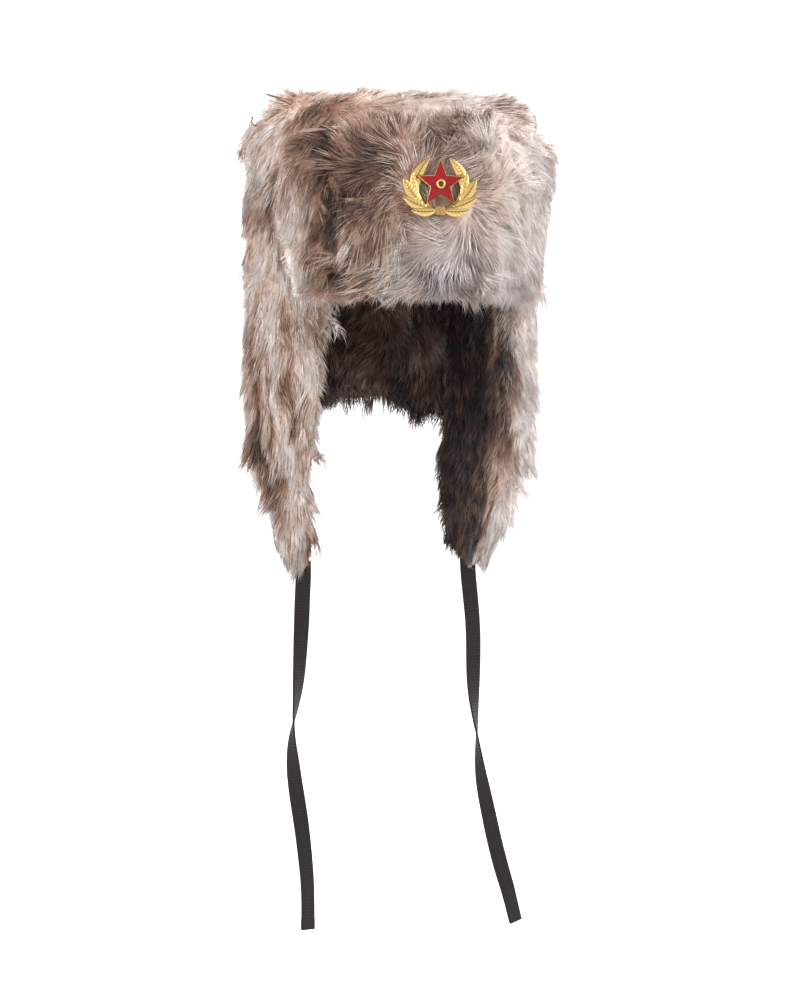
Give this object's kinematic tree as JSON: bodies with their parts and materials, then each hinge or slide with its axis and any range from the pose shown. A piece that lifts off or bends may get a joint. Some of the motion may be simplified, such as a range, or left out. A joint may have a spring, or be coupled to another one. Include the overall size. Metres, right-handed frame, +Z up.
{
  "type": "ushanka",
  "caption": "Fur ushanka with a turned-up front flap, hanging ear and neck flaps, ribbon ties and a star badge in a leaf wreath.",
  "frame": {"origin": "middle of the head opening, level with the crown's rim", "axes": "+Z up the crown, -Y out of the front, +X to the wearer's left"},
  "size_m": [0.2306, 0.2764, 0.5899],
  "materials": {
    "fur": "deep marbled brown, grey and cream fur",
    "cloth": "dark padded lining cloth",
    "ribbon": "flat dark brown-black ribbon with a stitched edge",
    "gilt": "polished gilt metal",
    "enamel": "glossy red enamel"
  },
  "bodies": {
    "root": {"crown_wall": "cloth", "crown_fur": "fur", "front_flap_wall": "cloth", "front_flap_fur": "fur", "ear_flap_left_wall": "cloth", "ear_flap_left_fur": "fur", "tie_left": "ribbon", "ear_flap_right_wall": "cloth", "ear_flap_right_fur": "fur", "tie_right": "ribbon", "neck_flap_wall": "cloth", "neck_flap_fur": "fur", "badge": "gilt", "badge_enamel": "enamel"}
  },
  "joints": []
}
